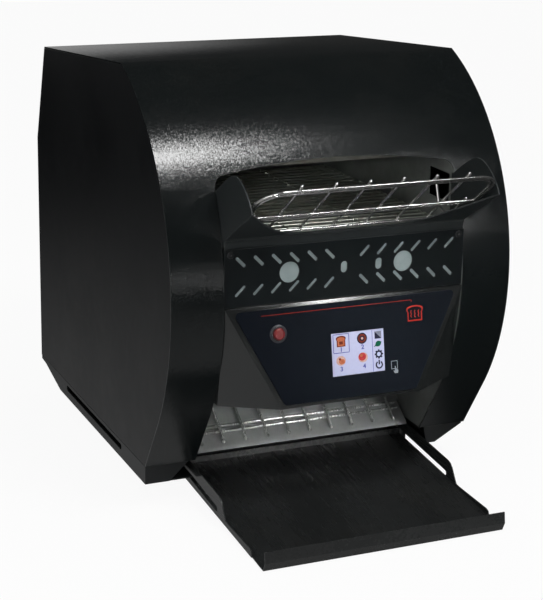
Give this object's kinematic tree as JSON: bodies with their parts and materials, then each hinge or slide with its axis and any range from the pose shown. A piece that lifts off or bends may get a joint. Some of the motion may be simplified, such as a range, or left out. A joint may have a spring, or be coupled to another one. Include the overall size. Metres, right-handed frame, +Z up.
{
  "type": "conveyor toaster",
  "caption": "Counter-top conveyor toaster with curved black housing, tilting wire feed rack, rod belt, front control box, chute and sliding collector tray.",
  "frame": {"origin": "centre of the footprint of the bounding box, on the counter", "axes": "+Z up, front with the feed rack and tray towards -Y, +X to the right seen from the front"},
  "size_m": [0.37, 0.56, 0.4448],
  "materials": {
    "dark_sheet": "satin dark grey paint",
    "black_powder": "black textured powder coat",
    "rubber": "matt",
    "inner_steel": "brushed",
    "chrome_wire": "bright plated wire",
    "grey_sheet": "satin",
    "light_sheet": "light grey",
    "bright_screw": "bright",
    "dark_glass": "printed glossy overlay",
    "screen": "lit display",
    "red_button": "glossy red",
    "board": "solder mask",
    "tray_steel": "satin dark",
    "shaft_steel": "turned",
    "bronze": "sintered bronze",
    "dark_steel": "oiled",
    "motor_paint": "grey paint",
    "reflector": "bright rolled",
    "quartz": "frosted quartz",
    "ceramic": "glazed ceramic",
    "wool": "mineral fibre",
    "black_plastic": "moulded",
    "relay_plastic": "moulded",
    "cream_plastic": "moulded"
  },
  "bodies": {
    "housing": {"base_pan": "dark_sheet", "top_front_cover": "black_powder", "left_side_panel": "black_powder", "right_side_panel": "black_powder", "rear_panel": "dark_sheet", "foot_front_left": "rubber", "foot_front_right": "rubber", "foot_rear_left": "rubber", "foot_rear_right": "rubber", "inner_wall_left": "inner_steel", "inner_wall_right": "inner_steel", "feed_scoop": "black_powder", "rack_clips": "dark_sheet", "guard_plate": "grey_sheet", "guard_backing": "light_sheet", "guard_screws": "bright_screw", "control_box": "grey_sheet", "control_overlay": "dark_glass", "touch_screen": "screen", "button_bezel": "chrome_wire", "control_board": "board", "toast_chute": "inner_steel", "chute_wires": "chrome_wire", "chute_shield": "inner_steel", "tray_guides": "dark_sheet", "conveyor_belt": "chrome_wire", "shaft_bushes": "bronze", "drive_chain": "dark_steel", "gear_motor": "motor_paint", "motor_bracket": "inner_steel", "upper_reflector": "reflector", "lower_reflector": "reflector", "upper_heaters": "quartz", "lower_heaters": "quartz", "heater_ends": "ceramic", "insulation_pad": "wool", "belt_baffle": "inner_steel", "cooling_fan": "black_plastic", "fan_guard": "chrome_wire", "power_supply": "inner_steel", "relay_pair": "relay_plastic", "terminal_block": "cream_plastic", "cable_gland": "black_plastic", "rear_screws": "bright_screw"},
    "tray": {"collector_tray": "tray_steel"},
    "rack": {"feed_rack": "chrome_wire"},
    "button": {"power_button": "red_button"},
    "drive": {"drive_shaft": "shaft_steel", "drive_wheels": "shaft_steel", "driven_wheel": "shaft_steel"},
    "idler": {"idler_shaft": "shaft_steel", "idler_wheels": "shaft_steel"},
    "motor_output": {"motor_wheel": "shaft_steel", "motor_shaft": "shaft_steel"},
    "rotor": {"fan_rotor": "black_plastic"}
  },
  "joints": [
    {"name": "tray_slide", "type": "slide", "parent": "housing", "child": "tray", "axis": [0, -1, 0], "range_m": [0, 0.2]},
    {"name": "rack_tilt", "type": "hinge", "parent": "housing", "child": "rack", "pos_m": [0, -0.17, 0.2995], "axis": [-1, 0, 0], "range_deg": [0, 32]},
    {"name": "button_press", "type": "slide", "parent": "housing", "child": "button", "axis": [0, 0.983, -0.1837], "range_m": [0, 0.003], "stiffness_N_per_m": 400, "springref_m": -0.002},
    {"name": "drive_spin", "type": "hinge", "parent": "housing", "child": "drive", "pos_m": [0, 0.1417, 0.2605], "axis": [1, 0, 0], "continuous": true},
    {"name": "idler_spin", "type": "hinge", "parent": "housing", "child": "idler", "pos_m": [0, -0.125, 0.2605], "axis": [1, 0, 0], "continuous": true},
    {"name": "motor_spin", "type": "hinge", "parent": "housing", "child": "motor_output", "pos_m": [0.15, 0.1417, 0.172], "axis": [1, 0, 0], "continuous": true},
    {"name": "fan_spin", "type": "hinge", "parent": "housing", "child": "rotor", "pos_m": [-0.06, 0.2594, 0.104], "axis": [0, 1, 0], "continuous": true}
  ],
  "couplings": [
    {"joint": "idler_spin", "follows": "drive_spin", "ratio": 1},
    {"joint": "motor_spin", "follows": "drive_spin", "ratio": 1.4286}
  ]
}
